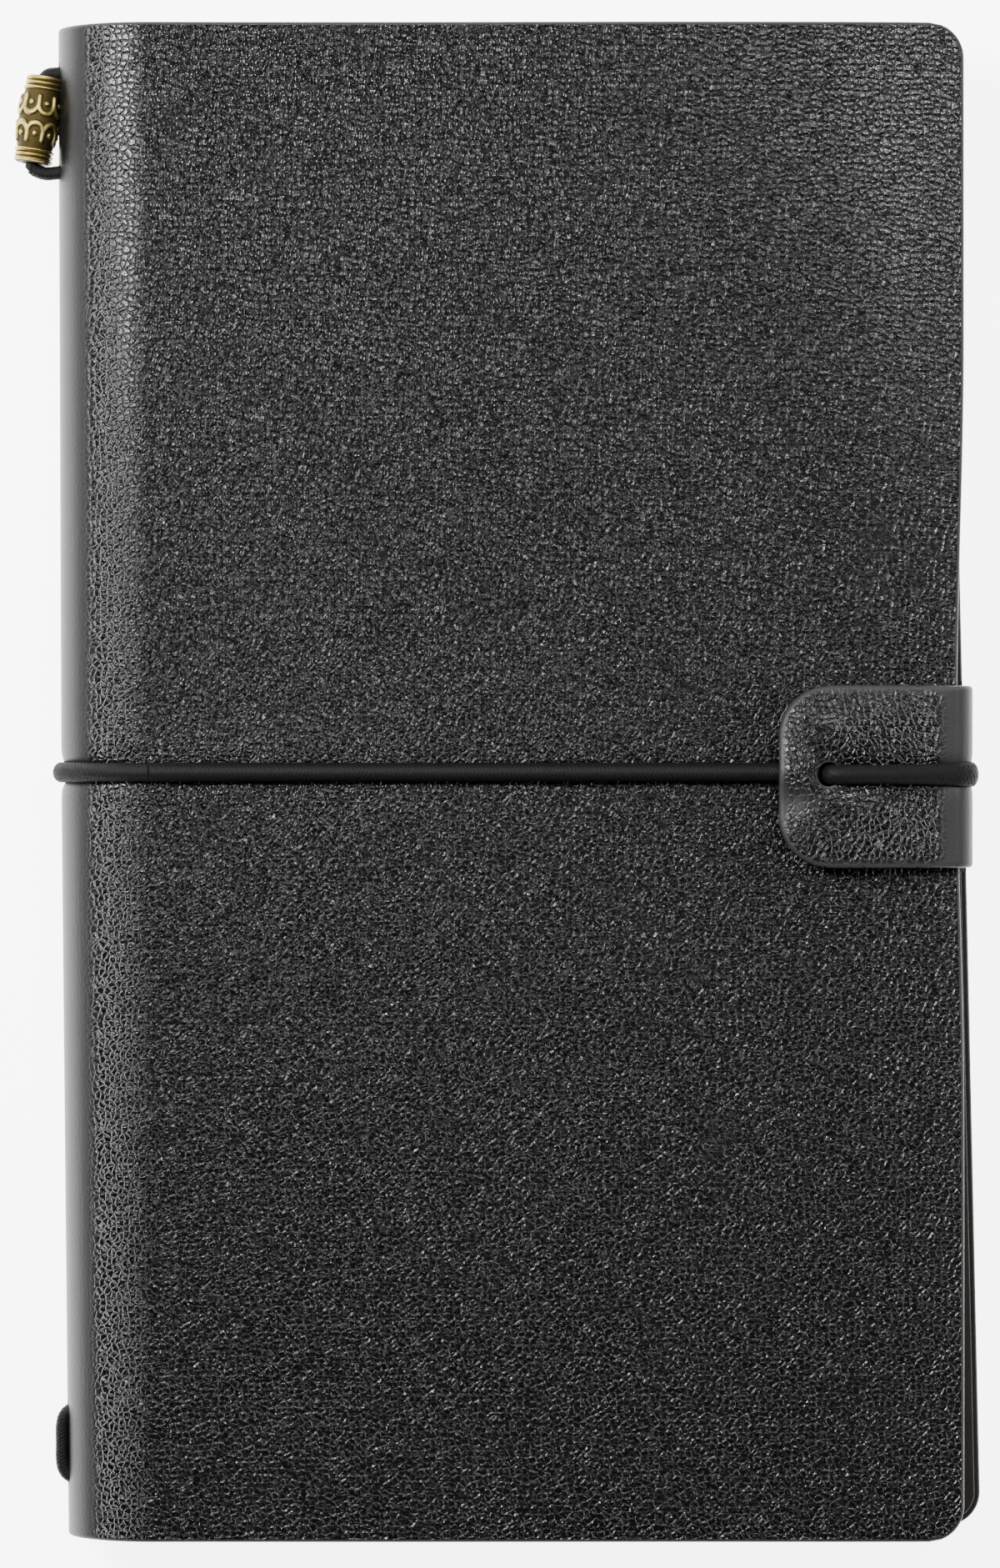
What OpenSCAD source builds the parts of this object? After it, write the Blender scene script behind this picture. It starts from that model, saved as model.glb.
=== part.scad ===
// Refillable leather notebook cover, closed and lying on its back cover.
// +Z is up, +Y points to the head of the book and +X to the fore edge.
// The origin is at the middle of the bounding box, on the plane it rests on.

/* [Cover] */
// Height of the cover from head to foot
cover_h = 203.2; // [196:0.2:212]
// Width of the front cover from the spine to the fore edge
cover_w = 121.4; // [119:0.2:126]
// Thickness of the closed notebook between its two covers' outer faces
cover_t = 17; // [16.6:0.1:18]
// Thickness of the cover leather
leather_t = 1.6; // [1.5:0.1:1.7]
// Thickness of the lining glued inside the leather
lining_t = 0.6; // [0.4:0.05:0.6]
// Outer radius where the covers meet the spine
fold_r = 3; // [2.6:0.1:3.2]
// Radius of the covers' corners at the fore edge
corner_r = 4.75; // [3:0.25:7]
// How much further out the back cover's foot corner reaches than its front edge
back_foot_out = 3.6; // [2.6:0.1:4]
// How far the back cover's head corner stops short of the front edge
back_head_in = 0.8; // [0:0.1:2]
// Depth of the dip that the closure pulls into the front fore edge
dip_depth = 0.9; // [0.8:0.05:1.2]

/* [Tab] */
// Width of the closure tab along the fore edge
tab_w = 24.3; // [20:0.1:26]
// Distance from the tab's free end to its outer face at the fore edge
tab_len = 26.15; // [25:0.05:28]
// Corner radius of the tab's free end
tab_end_r = 7; // [3:0.5:9]
// Height that the free end is propped up by the cord under it
tab_lift = 3; // [2.8:0.1:3.4]

/* [Cords] */
// Diameter of the braided closure elastic
closure_d = 2.5; // [2.3:0.1:2.6]
// Diameter of the binding elastic
binding_d = 1.8; // [1.5:0.1:1.9]

/* [Bead] */
// Length of the bead
bead_l = 11.7; // [10.5:0.1:12]
// Largest diameter of the bead
bead_d = 6.1; // [5.6:0.1:6.2]
// Diameter of the bead's ends
bead_end_d = 4.7; // [4.2:0.1:5]
// Lean of the bead, its lower end away from the spine
bead_tilt = 8.8; // [7:0.1:9.5]

/* [Booklets] */
// Height of each refill booklet
leaf_h = 190; // [180:1:190]
// Width of each refill booklet
leaf_w = 108; // [100:1:109]
// Thickness of a booklet's card cover
card_t = 0.35; // [0.2:0.05:0.4]

/* [Hidden] */

$fn = 48;
leather_col = [0.13, 0.13, 0.14];
flap_col = [0.17, 0.17, 0.18];
lining_col = [0.24, 0.2, 0.17];
cord_col = [0.06, 0.06, 0.07];
card_col = [0.62, 0.5, 0.36];
page_col = [0.95, 0.92, 0.84];
wire_col = [0.75, 0.75, 0.77];
brass_col = [0.66, 0.52, 0.28];

panel_t = leather_t + lining_t;
half_h = cover_h / 2;
cut = 0.05;              // clearance at each side of a mitred fold
gap = 0.1;               // clearance round a cord in its groove
back_foot_x = cover_w + back_foot_out;
back_head_x = cover_w - back_head_in;

// where the closure elastic and the tab lie along the spine's length
closure_y = 1.3;
tab_y = 0.7;
tab_x = cover_w + 1.1;
tab_left = tab_x - tab_len;
tab_top = cover_t + leather_t + 0.3;
tab_foot_r = 5;
tab_head_r = 2.4;
tab_slit = 0.4;
foot_c = [tab_x - tab_foot_r, tab_foot_r];
head_c = [tab_x - tab_head_r, tab_top - tab_head_r];
flap_run = head_c[0] - tab_left;
tab_hole_x = tab_left + 6.65;
tab_hole_d = 3.3;
dip_y = 8;
dip_half = 52;

// sections of the closure elastic: [width, thickness] round, pressed and flat
round_cord = [closure_d, closure_d];
pressed_cord = [closure_d + 0.7, closure_d - 0.9];
flat_cord = [closure_d + 0.9, closure_d - 1.4];
sunk_cord = [closure_d + 0.2, closure_d - 0.4];
cord_sides = 10;
spine_cord_x = -1.1 + sunk_cord[1] / 2;
spine_hole_d = 4;
anchor_t = 0.4;

// binding elastic: holes in the spine and the bead it carries
head_hole_1 = half_h - 5.6;
head_hole_2 = half_h - 19.2;
foot_hole_1 = -half_h + 17;
foot_hole_2 = -half_h + 7.8;
binding_z = cover_t / 2 + 1;
binding_hole_d = binding_d + 0.4;
foot_cord_x = -0.7 + binding_d / 2;
bead_at = [-2.95, half_h - 12.3, binding_z];
bead_bore_d = binding_d + 0.6;
bead_dir = [sin(bead_tilt), cos(bead_tilt), 0];
bead_reach = 3.42;

// booklets
leaf_gap = 0.3;
book_lo = panel_t + leaf_gap;
book_hi = cover_t - panel_t - leaf_gap;
book_step = (book_hi - book_lo) / 3;
between = 0.15;
fold_x = 7.6;
channel_d = binding_d + 0.4;
staple_d = 0.5;
staple_w = 12;
staple_y = leaf_h / 4;

mid_x = (back_foot_x + bead_at[0] - bead_reach) / 2;

// points along an arc round c from angle a to angle b
function arc(c, r, a, b, n = 8) = [for (i = [0:n]) c + r * [cos(a + (b - a) * i / n), sin(a + (b - a) * i / n)]];

// height of the flap's upper face, u from 0 at the fore edge to 1 at its free end
function flap_z(u) = tab_top + tab_lift * sin(90 * u);
function flap_u(x) = (head_c[0] - x) / flap_run;

// how far the front fore edge is pulled in at height y
function dip(y) = dip_depth * (1 + cos(180 * (y - dip_y) / dip_half)) / 2;

// every node is drawn from the spine's outer face, then moved to the shared origin
module placed() {
    translate([-mid_x, 0, 0]) children();
}

// stands a section drawn in X and Z up and runs it along Y
module run_y(length) {
    rotate([90, 0, 0]) linear_extrude(height = length, center = true) children();
}

// a cord swept along route, whose rows are [x, y, z, width, thickness]; side is the width's direction
module cord(route, side, grow = 0) {
    n = len(route);
    xyz = [for (p = route) [p[0], p[1], p[2]]];
    along = [for (i = [0:n - 1]) xyz[min(i + 1, n - 1)] - xyz[max(i - 1, 0)]];
    rings = [for (i = [0:n - 1]) let (up = cross(along[i], side), out = up / norm(up))
        for (k = [0:cord_sides - 1]) let (a = 360 * (k + 0.5) / cord_sides)
            xyz[i] + side * (route[i][3] / 2 + grow) * cos(a) + out * (route[i][4] / 2 + grow) * sin(a)];
    caps = [[for (k = [0:cord_sides - 1]) k],
            [for (k = [0:cord_sides - 1]) n * cord_sides - 1 - k]];
    walls = [for (i = [0:n - 2]) for (k = [0:cord_sides - 1])
        let (k2 = (k + 1) % cord_sides)
            [i * cord_sides + k2, i * cord_sides + k, (i + 1) * cord_sides + k, (i + 1) * cord_sides + k2]];
    polyhedron(points = rings, faces = concat(caps, walls), convexity = 6);
}

// a stretch of the closure elastic in the plane y, from rows [[x, z], section]
function flat_route(y, rows) = [for (r = rows) [r[0][0], y, r[0][1], r[1][0], r[1][1]]];

// ---- closure elastic routes ----
// the closed curve starts at the spine, crosses the front, threads the tab and comes back under the book
front_route = flat_route(closure_y, [
    for (i = [0:8]) [[4 + i * (tab_hole_x - 2.2 - 4) / 8, cover_t + closure_d / 2 + gap], round_cord]
]);
function on_flap(x, off, section) = [[x, flap_z(flap_u(x)) + off], section];
tab_route = flat_route(closure_y - 0.3, concat(
    [[[tab_hole_x, cover_t + 0.5], round_cord],
     [[tab_hole_x, cover_t + 3.6], round_cord],
     [[tab_hole_x + 0.5, cover_t + 5.1], round_cord]],
    [on_flap(tab_hole_x + 2.2, 1.3, round_cord),
     on_flap(tab_hole_x + 6, 1.2, round_cord),
     on_flap(tab_hole_x + 10, 0.8, [closure_d + 0.3, closure_d - 0.4]),
     on_flap(head_c[0] - 1.5, 0, pressed_cord)],
    [for (p = arc(head_c, tab_head_r - 0.2, 80, 50, 2)) [p, pressed_cord]]));
fore_route = flat_route(closure_y - 0.3, concat(
    [for (p = arc(head_c, tab_head_r - 0.2, 40, 0, 2)) [p, pressed_cord]],
    [[[tab_x - 0.2, cover_t / 2], pressed_cord]],
    [for (p = arc(foot_c, tab_foot_r - 0.35, 0, -38, 3)) [p, pressed_cord]]));
back_z = flat_cord[1] / 2 + 0.03;
back_route = flat_route(closure_y - 0.3, concat(
    [for (p = arc(foot_c, tab_foot_r - back_z, -52, -90, 3)) [p, flat_cord]],
    [for (i = [1:4]) [[foot_c[0] - i * (foot_c[0] - fold_r - 0.3) / 4, back_z], flat_cord]]));
spine_route = flat_route(closure_y, [
    for (i = [0:4]) [[spine_cord_x, fold_r + i * (cover_t - 2 * fold_r) / 4], sunk_cord]
]);

// ---- binding elastic routes, in the plane z = binding_z ----
function across_route(rows) = [for (r = rows) [r[0], r[1], binding_z, binding_d, binding_d]];
bead_top = bead_at + bead_dir * bead_l / 2;
bead_bottom = bead_at - bead_dir * bead_l / 2;
head_route = across_route([
    [panel_t + 0.1, head_hole_1], [0.9, head_hole_1], [-0.4, head_hole_1 + 0.05],
    [bead_top[0] + 0.7, bead_top[1] + 0.75], [bead_top[0] + 0.12, bead_top[1] + 0.3],
    [bead_top[0] - 0.08, bead_top[1] - 0.5], [bead_at[0], bead_at[1]],
    [bead_bottom[0], bead_bottom[1]], [bead_bottom[0] + 0.05, bead_bottom[1] - 0.6],
    [bead_bottom[0] + 0.6, head_hole_2 + 0.05], [-2, head_hole_2 - 0.25],
    [0.9, head_hole_2], [panel_t + 0.1, head_hole_2]
]);
foot_route = across_route([
    [panel_t + 0.1, foot_hole_1], [1.2, foot_hole_1 - 0.05], [foot_cord_x + 0.15, foot_hole_1 - 0.9],
    [foot_cord_x, foot_hole_1 - 2.2], [foot_cord_x, foot_hole_2 + 2.2],
    [foot_cord_x + 0.15, foot_hole_2 + 0.9], [1.2, foot_hole_2 + 0.05], [panel_t + 0.1, foot_hole_2]
]);

// ---- cover sections ----
// outline of the closed cover, drawn in by inset and open towards the fore edge
module cover_outline(inset, end_x) {
    translate([fold_r, inset]) square([end_x - fold_r, cover_t - 2 * inset]);
    translate([inset, fold_r]) square([fold_r - inset + 0.01, cover_t - 2 * fold_r]);
    for (z = [fold_r, cover_t - fold_r]) {
        translate([fold_r, z]) circle(r = fold_r - inset);
    }
}

module cover_layer(inset, thick) {
    difference() {
        cover_outline(inset, back_foot_x + 1);
        cover_outline(inset + thick, back_foot_x + 2);
    }
}

// the covers and the spine meet on the planes that halve the folds
module back_zone() {
    far = back_foot_x + 3;
    translate([cut, -cut]) polygon([[-1, -1], [cover_t / 2, cover_t / 2], [far, cover_t / 2], [far, -1]]);
}

module spine_zone() {
    translate([-cut, 0]) polygon([[-1, -1], [cover_t / 2, cover_t / 2], [-1, cover_t + 1]]);
}

module front_zone() {
    translate([0, cover_t]) mirror([0, 1]) back_zone();
}

// outline of a cover seen from above
module back_plan() {
    r = corner_r;
    linear_extrude(height = cover_t) polygon(concat(
        [[-1, -half_h]],
        arc([back_foot_x - r, r - half_h], r, -90, 0),
        arc([back_head_x - r, half_h - r], r, 0, 90),
        [[-1, half_h]]));
}

module front_plan() {
    r = corner_r;
    dip_points = [for (i = [-8:8]) let (y = dip_y + dip_half * i / 8) [cover_w - dip(y), y]];
    linear_extrude(height = cover_t + 1) polygon(concat(
        [[-1, -half_h]],
        arc([cover_w - r, r - half_h], r, -90, 0),
        dip_points,
        arc([cover_w - r, half_h - r], r, 0, 90),
        [[-1, half_h]]));
}

module back_panel(inset, thick) {
    intersection() {
        run_y(cover_h) intersection() {
            cover_layer(inset, thick);
            back_zone();
        }
        back_plan();
    }
}

module front_panel(inset, thick) {
    intersection() {
        run_y(cover_h) intersection() {
            cover_layer(inset, thick);
            front_zone();
        }
        front_plan();
    }
}

module spine_panel(inset, thick) {
    run_y(cover_h) intersection() {
        cover_layer(inset, thick);
        spine_zone();
    }
}

// room beside and beyond the strap where it curves up from the back cover
module tab_room(z) {
    translate([foot_c[0], tab_y - tab_w / 2 - tab_slit, -1])
        cube([tab_foot_r + 8, tab_w + 2 * tab_slit, z + 1]);
}

module across_hole(y, d) {
    translate([-1, y, binding_z]) rotate([0, 90, 0]) cylinder(d = d, h = panel_t + 2);
}

module binding_holes() {
    for (y = [head_hole_1, head_hole_2, foot_hole_1, foot_hole_2]) {
        across_hole(y, binding_hole_d);
    }
}

// ---- back cover ----
module back_cover_leather() {
    color(leather_col) placed() difference() {
        union() {
            difference() {
                back_panel(0, leather_t);
                tab_room(leather_t);
            }
            translate([0, tab_y, 0]) run_y(tab_w) polygon(concat(
                [[foot_c[0] - 2, 0]],
                arc(foot_c, tab_foot_r, -90, -46),
                arc(foot_c, tab_foot_r - leather_t, -46, -90),
                [[foot_c[0] - 2, leather_t]]));
        }
        cord(back_route, [0, 1, 0], gap);
    }
}

module back_cover_lining() {
    color(lining_col) placed() difference() {
        back_panel(leather_t, lining_t);
        tab_room(cover_t);
    }
}

// ---- spine ----
module spine_leather() {
    color(leather_col) placed() difference() {
        spine_panel(0, leather_t);
        cord([for (p = spine_route) [p[0], p[1], (p[2] - cover_t / 2) * 2 + cover_t / 2, p[3], p[4]]],
            [0, 1, 0], gap);
        translate([-1, closure_y - 0.4, cover_t / 2]) rotate([0, 90, 0]) cylinder(d = spine_hole_d, h = 4);
        translate([leather_t - anchor_t - gap / 2, closure_y - 4, cover_t / 2 - 3.5]) cube([1, 8, 7]);
        binding_holes();
        translate(bead_at) rotate([0, 0, -bead_tilt]) rotate([90, 0, 0])
            cylinder(d = bead_d + 0.6, h = bead_l + 1, center = true);
        cord(foot_route, [0, 0, 1], gap);
    }
}

module spine_lining() {
    color(lining_col) placed() difference() {
        spine_panel(leather_t, lining_t);
        binding_holes();
    }
}

// ---- front cover ----
module front_cover_leather() {
    color(leather_col) placed() front_panel(0, leather_t);
}

module front_cover_lining() {
    color(lining_col) placed() front_panel(leather_t, lining_t);
}

// ---- closure tab: one strap with the back cover, parted where it folds ----
module tab_riser() {
    color(flap_col) placed() difference() {
        translate([0, tab_y, 0]) run_y(tab_w) polygon(concat(
            arc(foot_c, tab_foot_r, -44, 0),
            arc(head_c, tab_head_r, 0, 44),
            arc(head_c, tab_head_r - leather_t, 44, 0),
            arc(foot_c, tab_foot_r - leather_t, 0, -44)));
        cord(fore_route, [0, 1, 0], gap);
    }
}

module flap_section() {
    steps = 10;
    upper = [for (i = [1:steps]) [head_c[0] - flap_run * i / steps, flap_z(i / steps)]];
    lower = [for (i = [steps:-1:1]) [head_c[0] - flap_run * i / steps, flap_z(i / steps) - leather_t]];
    polygon(concat(
        arc(head_c, tab_head_r, 46, 90), upper,
        lower, arc(head_c, tab_head_r - leather_t, 90, 46)));
}

module tab_flap() {
    r = tab_end_r;
    w = tab_w / 2;
    color(flap_col) placed() difference() {
        intersection() {
            translate([0, tab_y, 0]) run_y(tab_w) flap_section();
            translate([0, tab_y, 0]) linear_extrude(height = tab_top + 10) polygon(concat(
                [[tab_x + 1, -w], [tab_x + 1, w]],
                arc([tab_left + r, w - r], r, 90, 180),
                arc([tab_left + r, r - w], r, 180, 270)));
        }
        translate([tab_hole_x, closure_y - 0.3, cover_t]) cylinder(d = tab_hole_d, h = 12);
        cord([for (i = [2:len(tab_route) - 1]) tab_route[i]], [0, 1, 0], gap);
    }
}

// ---- closure elastic ----
module closure_elastic_front() {
    color(cord_col) placed() cord(front_route, [0, 1, 0]);
}

module closure_elastic_tab() {
    color(cord_col) placed() cord(tab_route, [0, 1, 0]);
}

module closure_elastic_fore_edge() {
    color(cord_col) placed() cord(fore_route, [0, 1, 0]);
}

module closure_elastic_back() {
    color(cord_col) placed() cord(back_route, [0, 1, 0]);
}

module closure_elastic_spine() {
    color(cord_col) placed() cord(spine_route, [0, 1, 0]);
}

// the two ends of the elastic, pressed flat and glued between the leather and the lining
module closure_elastic_anchor() {
    color(cord_col) placed() translate([leather_t - anchor_t, closure_y - 3.5, cover_t / 2 - 3])
        cube([anchor_t - 0.02, 7, 6]);
}

// ---- binding elastic ----
module binding_elastic_head() {
    color(cord_col) placed() cord(head_route, [0, 0, 1]);
}

module binding_elastic_foot() {
    color(cord_col) placed() cord(foot_route, [0, 0, 1]);
}

module binding_strand(x, z) {
    color(cord_col) placed() translate([x, 0, z]) rotate([90, 0, 0])
        cylinder(d = binding_d, h = leaf_h + 3, center = true);
}

// ---- bead ----
function bead_r(z) = let (u = abs(z) / (bead_l / 2), ribs = u > 0.6 ? 0.12 * (1 - cos(1350 * (u - 0.6))) - 0.12 : 0)
    bead_d / 2 - (bead_d - bead_end_d) / 2 * u * u + ribs;

module spine_bead() {
    steps = 60;
    outside = [for (i = [0:steps]) let (z = bead_l * (i / steps - 0.5)) [bead_r(z), z]];
    color(brass_col) placed() translate(bead_at) rotate([0, 0, -bead_tilt]) rotate([90, 0, 0])
        rotate_extrude() polygon(concat(outside, [[bead_bore_d / 2, bead_l / 2], [bead_bore_d / 2, -bead_l / 2]]));
}

// ---- booklets ----
function booklet_z(i) = book_lo + i * book_step;
function booklet_mid(i) = booklet_z(i) + (book_step - between) / 2;

// section of a closed booklet with its rounded fold, drawn in by inset
module booklet_section(i, inset, width) {
    r = (book_step - between) / 2;
    translate([fold_x + r, booklet_mid(i)]) circle(r = r - inset);
    translate([fold_x + r, booklet_mid(i) - r + inset]) square([width - r, 2 * (r - inset)]);
}

module staple_wire(x, z, leg) {
    for (y = [-staple_y, staple_y]) {
        translate([x, y, z]) {
            rotate([90, 0, 0]) cylinder(d = staple_d, h = staple_w, center = true);
            for (s = [-1, 1]) {
                translate([0, s * (staple_w - staple_d) / 2, 0]) rotate([0, 90, 0])
                    cylinder(d = staple_d, h = leg);
            }
        }
    }
}

// room for the staples' legs
module staple_holes(x, z) {
    for (y = [-staple_y, staple_y]) {
        for (s = [-1, 1]) {
            translate([x - 1, y + s * (staple_w - staple_d) / 2, z]) rotate([0, 90, 0])
                cylinder(d = staple_d + 0.04, h = 3);
        }
    }
}

fold_channel_x = fold_x + (book_step - between) / 2;
leg_end = fold_channel_x - channel_d / 2 - fold_x;

module booklet_card(i) {
    color(card_col) placed() difference() {
        run_y(leaf_h) difference() {
            booklet_section(i, 0, leaf_w);
            booklet_section(i, card_t, leaf_w + 1);
        }
        staple_holes(fold_x, booklet_mid(i));
    }
}

module booklet_pages(i) {
    color(page_col) placed() difference() {
        run_y(leaf_h - 1) difference() {
            booklet_section(i, card_t + 0.02, leaf_w - 0.5);
            translate([fold_channel_x, booklet_mid(i)]) circle(d = channel_d);
        }
        staple_holes(fold_x, booklet_mid(i));
    }
}

module booklet_staples(i) {
    color(wire_col) placed() staple_wire(fold_x - staple_d / 2 - 0.01, booklet_mid(i), leg_end + staple_d / 2);
}

back_cover_leather();
back_cover_lining();
spine_leather();
spine_lining();
front_cover_leather();
front_cover_lining();
tab_riser();
tab_flap();
closure_elastic_front();
closure_elastic_tab();
closure_elastic_fore_edge();
closure_elastic_back();
closure_elastic_spine();
closure_elastic_anchor();
binding_elastic_head();
binding_elastic_foot();
binding_strand(fold_channel_x, booklet_mid(0));  // binding_strand_1
binding_strand(fold_channel_x, booklet_mid(1));  // binding_strand_2
binding_strand(fold_channel_x, booklet_mid(2));  // binding_strand_3
spine_bead();
booklet_card(0);  // booklet_1_card
booklet_pages(0);  // booklet_1_pages
booklet_staples(0);  // booklet_1_staples
booklet_card(1);  // booklet_2_card
booklet_pages(1);  // booklet_2_pages
booklet_staples(1);  // booklet_2_staples
booklet_card(2);  // booklet_3_card
booklet_pages(2);  // booklet_3_pages
booklet_staples(2);  // booklet_3_staples
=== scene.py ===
"""Looks of a refillable leather notebook cover with a fold-over tab, a braided elastic and a brass bead.

Lengths are in millimetres and places in cover coordinates: x from the spine's outer face to the fore edge,
y from the middle to the head, z up from the table. to_row() turns them into the row frame in metres.
"""
import math
from functools import partial

import bmesh
import bpy
import numpy as np
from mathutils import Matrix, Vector


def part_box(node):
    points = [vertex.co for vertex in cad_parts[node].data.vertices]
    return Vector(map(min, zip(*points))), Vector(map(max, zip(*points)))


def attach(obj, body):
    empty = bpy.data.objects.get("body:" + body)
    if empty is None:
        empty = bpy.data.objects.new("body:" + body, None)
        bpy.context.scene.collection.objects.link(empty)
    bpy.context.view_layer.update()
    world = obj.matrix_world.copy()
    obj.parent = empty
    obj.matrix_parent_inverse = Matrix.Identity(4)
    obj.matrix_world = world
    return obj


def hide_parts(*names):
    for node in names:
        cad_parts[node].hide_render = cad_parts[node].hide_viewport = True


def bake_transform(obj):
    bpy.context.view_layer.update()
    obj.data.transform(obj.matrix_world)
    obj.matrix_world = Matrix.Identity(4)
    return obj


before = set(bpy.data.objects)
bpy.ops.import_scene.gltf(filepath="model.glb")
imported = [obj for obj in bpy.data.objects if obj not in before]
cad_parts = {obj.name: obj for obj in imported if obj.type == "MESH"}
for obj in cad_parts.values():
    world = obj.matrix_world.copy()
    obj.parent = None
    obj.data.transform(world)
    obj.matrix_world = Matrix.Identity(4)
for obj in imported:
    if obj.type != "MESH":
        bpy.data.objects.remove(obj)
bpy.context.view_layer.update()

MM = 0.001
SPINE_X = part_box("spine_leather")[0].x
HALF_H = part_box("front_cover_leather")[1].y / MM
COVER_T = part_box("front_cover_leather")[1].z / MM
COVER_W = (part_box("front_cover_leather")[1].x - SPINE_X) / MM
LEATHER_T = 1.6
LINING_T = 0.6
MID_Z = COVER_T / 2

# the tab: a strap that rises at the fore edge and folds over the front
TAB_X = COVER_W + 1.1
TAB_Y = 0.7
TAB_HALF = 12.15
TAB_TOP = COVER_T + 1.9
TAB_LIFT = 3.0
TAB_LEFT = 96.35
TAB_FOOT_R = 5.0
TAB_HEAD_R = 2.4
TAB_HOLE = (103.0, 1.0)
TAB_HOLE_R = 1.65
TAB_CORNER = 7.0
RISER_TOP = 15.2

# the closure elastic
CORD_Y = 1.3
CORD_D = 2.5

# sections of the closure elastic, width and thickness: free, along the spine, on the tab, on the back cover
CORD_FREE = (CORD_D, CORD_D)
CORD_SUNK = (2.7, 2.2)
CORD_PRESSED = (3.2, 1.6)
CORD_FLAT = (3.4, 1.1)

# where it lies in the leather: the groove in the back cover, and the hole in the spine (along, across, radius)
BACK_GROOVE_HALF = 1.85
BACK_GROOVE_DEPTH = 1.02
BACK_GROOVE_SIDE = 0.3
CORD_HOLE = (0, 0.9, 1.95)

# the binding elastic and its bead
BINDING_D = 1.8
BINDING_Z = 9.5
HEAD_HOLES = (96.0, 82.4)
FOOT_HOLES = (-84.6, -93.8)
BINDING_HOLE_R = 1.15
BEAD_AT = np.array([-2.95, 89.3, BINDING_Z])
BEAD_LENGTH = 11.7
BEAD_TILT = math.radians(8.8)


# ---- small helpers ----
def to_row(points):
    """cover millimetres to metres in the row frame"""
    return np.asarray(points, float) * MM + np.array([SPINE_X, 0, 0])


def cover_box(node):
    """the lowest and the highest corner of a node's box, in cover millimetres"""
    return [(np.array(corner) - np.array([SPINE_X, 0, 0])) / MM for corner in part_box(node)]


def bend_with(piece):
    """a piece with its place baked into its mesh"""
    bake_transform(piece)


def smooth(x, lo, hi):
    """0 below lo, 1 above hi, an even s-curve between"""
    t = np.clip((x - lo) / (hi - lo), 0, 1)
    return t * t * (3 - 2 * t)


def bump_at(x, centre, width):
    """a soft hump of height 1"""
    return np.exp(-(((x - centre) / width) ** 2))


def waves(x, y, seed, scale):
    """slow random unevenness, about -1 to 1"""
    rng = np.random.default_rng(seed)
    total = np.zeros(np.broadcast(x, y).shape)
    for _ in range(7):
        angle = rng.uniform(0, 2 * math.pi)
        rate = rng.uniform(0.5, 1.6) / scale
        phase = rng.uniform(0, 2 * math.pi)
        total = total + np.sin((x * math.cos(angle) + y * math.sin(angle)) * 2 * math.pi * rate + phase)
    return total / 3.5


def spread(stops):
    """places from rows (start, step), each step used until the next row's start; the last row only ends"""
    out = []
    for (a, step), (b, _) in zip(stops, stops[1:]):
        n = max(1, round((b - a) / step))
        out += [a + (b - a) * i / n for i in range(n)]
    return np.array(out + [stops[-1][0]])


def add_object(name, data, place=(0, 0, 0)):
    """an object in the scene"""
    obj = bpy.data.objects.new(name, data)
    obj.location = place
    bpy.context.scene.collection.objects.link(obj)
    return obj


def make_mesh(name, points, quads, uv=None, slots=None, materials=(), marks=None, sharp=None):
    """A mesh object from points in cover millimetres, with uv in millimetres per point.
    marks are float attributes. Edges that turn by more than sharp degrees are shaded sharp."""
    mesh = bpy.data.meshes.new(name)
    quads = np.asarray(quads, np.int32)
    mesh.vertices.add(len(points))
    mesh.vertices.foreach_set("co", to_row(points).astype(np.float32).ravel())
    mesh.loops.add(quads.size)
    mesh.loops.foreach_set("vertex_index", quads.ravel())
    mesh.polygons.add(len(quads))
    mesh.polygons.foreach_set("loop_start", np.arange(0, quads.size, 4, dtype=np.int32))
    if slots is not None:
        mesh.polygons.foreach_set("material_index", np.asarray(slots, np.int32))
    mesh.update(calc_edges=True)
    if uv is not None:
        layer = mesh.uv_layers.new(name="UVMap")
        layer.data.foreach_set("uv", (np.asarray(uv) * MM)[quads.ravel()].astype(np.float32).ravel())
    for key, value in (marks or {}).items():
        mesh.attributes.new(key, "FLOAT", "POINT").data.foreach_set("value", np.asarray(value, np.float32))
    bm = bmesh.new()
    bm.from_mesh(mesh)
    bmesh.ops.recalc_face_normals(bm, faces=bm.faces)
    bm.to_mesh(mesh)
    bm.free()
    mesh.polygons.foreach_set("use_smooth", np.ones(len(mesh.polygons), bool))
    if sharp:
        mesh.set_sharp_from_angle(angle=math.radians(sharp))
    for m in materials:
        mesh.materials.append(m)
    return add_object(name, mesh)


def grid_quads(rows, cols, wrap=False):
    """quads between a grid's points; wrap joins the last column to the first"""
    last = cols if wrap else cols - 1
    i, j = np.meshgrid(np.arange(rows - 1), np.arange(last), indexing="ij")
    k = (j + 1) % cols
    return np.stack([i * cols + j, i * cols + k, (i + 1) * cols + k, (i + 1) * cols + j], -1).reshape(-1, 4)


def grid_border(rows, cols):
    """a grid's outermost points, once round"""
    n = rows * cols
    return np.concatenate([np.arange(cols - 1), np.arange(rows - 1) * cols + cols - 1,
                           n - 1 - np.arange(cols - 1), n - cols - np.arange(rows - 1) * cols])


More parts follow.
